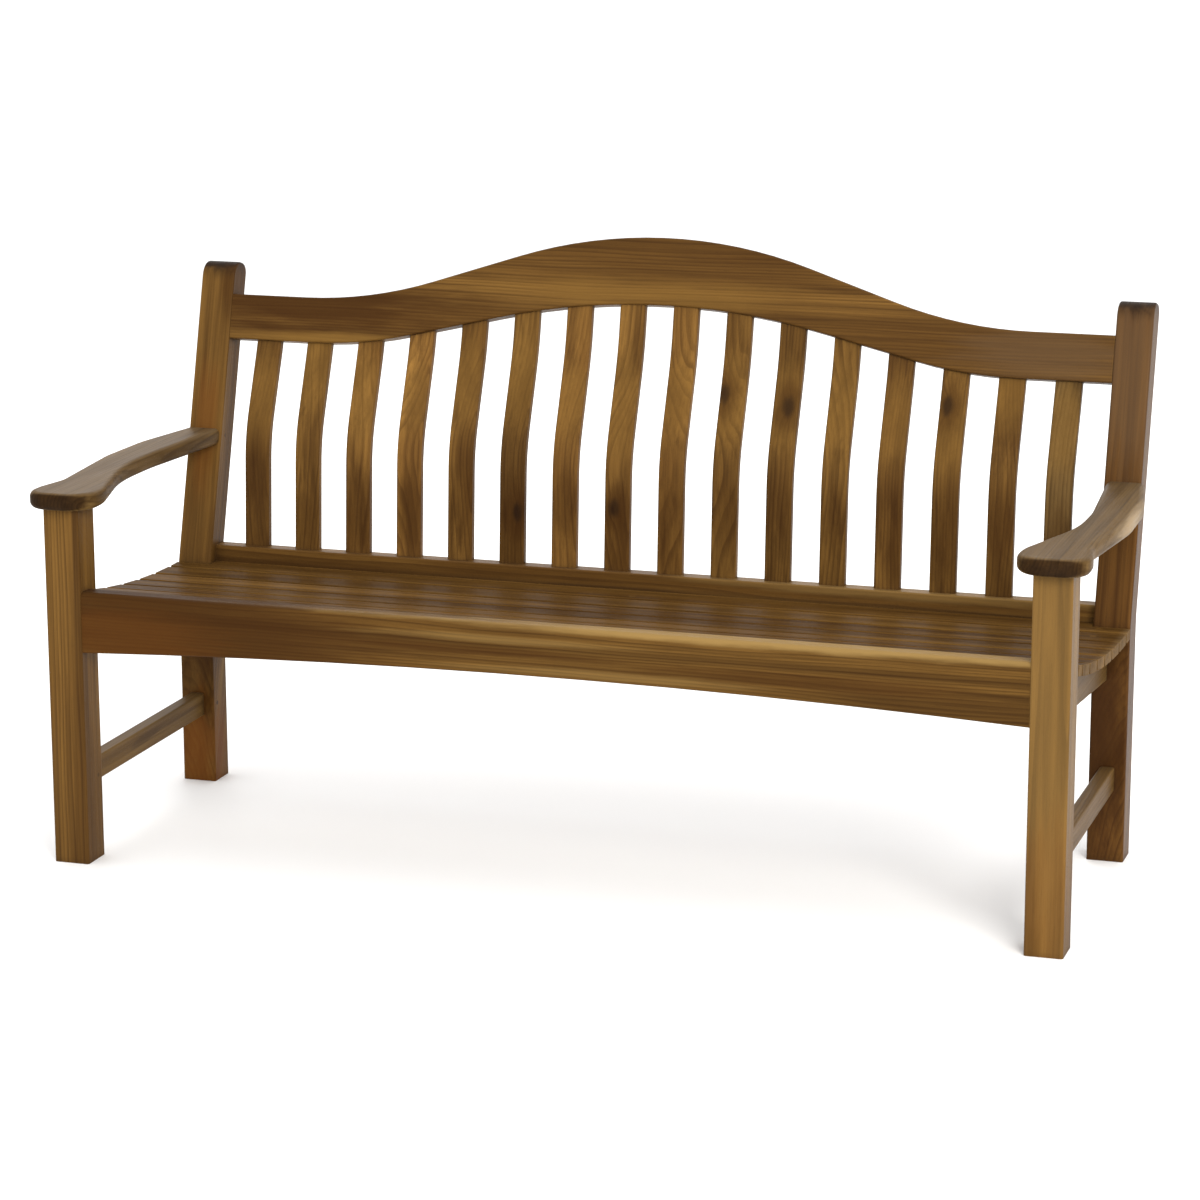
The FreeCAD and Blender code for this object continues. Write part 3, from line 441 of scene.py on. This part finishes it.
# painted light on the seat slats' right-hand ends, which face the light
SEAT_END_PAINTED_LIGHT = ((0.84, 0, 0.41), (0.03, 1, 1), PAINTED_SIDE_LIGHT, 0.25)
for number, shade in enumerate(SEAT_SHADES, start=1):
    wood(f"seat_slat_{number}", ALONG, "honey", 0.95 * shade, stains=(SEAT_END_PAINTED_LIGHT,), **SEAT_LOOK)
wood("seat_plugs", ALONG, "honey", 0.9, **SEAT_LOOK)
wood("joint_pegs", UP, "honey", 0.6)


STEEL_DARK = (0.42, 0.42, 0.41, 1)
STEEL_LIGHT = (0.62, 0.62, 0.60, 1)


def steel():
    """Plain zinc-grey steel for the screws under the plugs."""
    material = bpy.data.materials.new("screw_steel")
    material.use_nodes = True
    tree = material.node_tree
    skin = tree.nodes["Principled BSDF"]
    here = add(tree, "ShaderNodeTexCoord").outputs["Object"]
    spots = noise(tree, here, STEEL_CELLS, 3.0)
    feed(tree, skin.inputs["Base Color"], mix(tree, spots, STEEL_DARK, STEEL_LIGHT))
    feed(tree, skin.inputs["Roughness"], maths(tree, "MULTIPLY_ADD", spots, 0.25, 0.25))
    skin.inputs["Metallic"].default_value = 1.0
    return material


put_on(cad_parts["seat_screws"], steel())

# ------------------------------------------------------------------ floor, light and camera

FLOOR_REACH = 60
FLOOR_GREY = (0.97, 0.97, 0.97, 1)
FLOOR_WHITE = (0.985, 0.985, 0.985, 1)


def pale_paint():
    """Matt and nearly white, with faint clouds."""
    material = bpy.data.materials.new("pale_floor")
    material.use_nodes = True
    tree = material.node_tree
    paint = tree.nodes["Principled BSDF"]
    cloudy = noise(tree, add(tree, "ShaderNodeTexCoord").outputs["Object"], FLOOR_CELLS)
    feed(tree, paint.inputs["Base Color"], mix(tree, cloudy, FLOOR_GREY, FLOOR_WHITE))
    paint.inputs["Roughness"].default_value = 0.9
    return material


floor_mesh = bpy.data.meshes.new("floor")
floor_corners = [(x * FLOOR_REACH, y * FLOOR_REACH, 0) for x, y in ((-1, -1), (1, -1), (1, 1), (-1, 1))]
floor_mesh.from_pydata(floor_corners, [], [(0, 1, 2, 3)])
floor = bpy.data.objects.new("floor", floor_mesh)
bpy.context.scene.collection.objects.link(floor)
floor_mesh.materials.append(pale_paint())

scene = bpy.context.scene
scene.view_settings.view_transform = "Standard"
world = bpy.data.worlds.new("studio")
scene.world = world
world.use_nodes = True
sky = world.node_tree.nodes["Background"].inputs
sky["Color"].default_value = (1, 1, 1, 1)
sky["Strength"].default_value = BRIGHTNESS


def soft_light(name, place, target, wide, watts, colour=(1, 1, 1)):
    """A square area light aimed at a point."""
    data = bpy.data.lights.new(name, "AREA")
    data.size = wide
    data.energy = watts
    data.color = colour
    light = bpy.data.objects.new(name, data)
    scene.collection.objects.link(light)
    light.location = place
    light.rotation_euler = (Vector(target) - Vector(place)).to_track_quat("-Z", "Y").to_euler()


WARM_WHITE = (1.0, 0.97, 0.92)
soft_light("key", place=(3.2, -4.2, 3.6), target=(0.2, 0, 0.5), wide=2.4, watts=190 * BRIGHTNESS,
           colour=WARM_WHITE)
soft_light("back", place=(-1.5, 3.8, 3.2), target=(0, 0, 0.5), wide=3.0, watts=60 * BRIGHTNESS)

CAMERA_PLACE = Vector((1.7786, -5.5730, 1.7851))
CAMERA_YAW = math.radians(-17.76)
CAMERA_PITCH = math.radians(13.17)
CAMERA_ROLL = math.radians(-0.09)
CAMERA_LENS = 111.7
CAMERA_SENSOR = 36
CAMERA_FAR = 200

ahead = Vector((math.sin(CAMERA_YAW) * math.cos(CAMERA_PITCH),
                math.cos(CAMERA_YAW) * math.cos(CAMERA_PITCH), -math.sin(CAMERA_PITCH)))
right = Vector((math.cos(CAMERA_YAW), -math.sin(CAMERA_YAW), 0))
above = right.cross(ahead)
tilted_right = right * math.cos(CAMERA_ROLL) + above * math.sin(CAMERA_ROLL)
tilted_above = above * math.cos(CAMERA_ROLL) - right * math.sin(CAMERA_ROLL)
camera_data = bpy.data.cameras.new("camera")
camera_data.lens = CAMERA_LENS
camera_data.sensor_width = CAMERA_SENSOR
camera_data.clip_end = CAMERA_FAR
camera = bpy.data.objects.new("camera", camera_data)
scene.collection.objects.link(camera)
turned = Matrix((tilted_right, tilted_above, -ahead)).transposed()
camera.matrix_world = Matrix.Translation(CAMERA_PLACE) @ turned.to_4x4()
scene.camera = camera
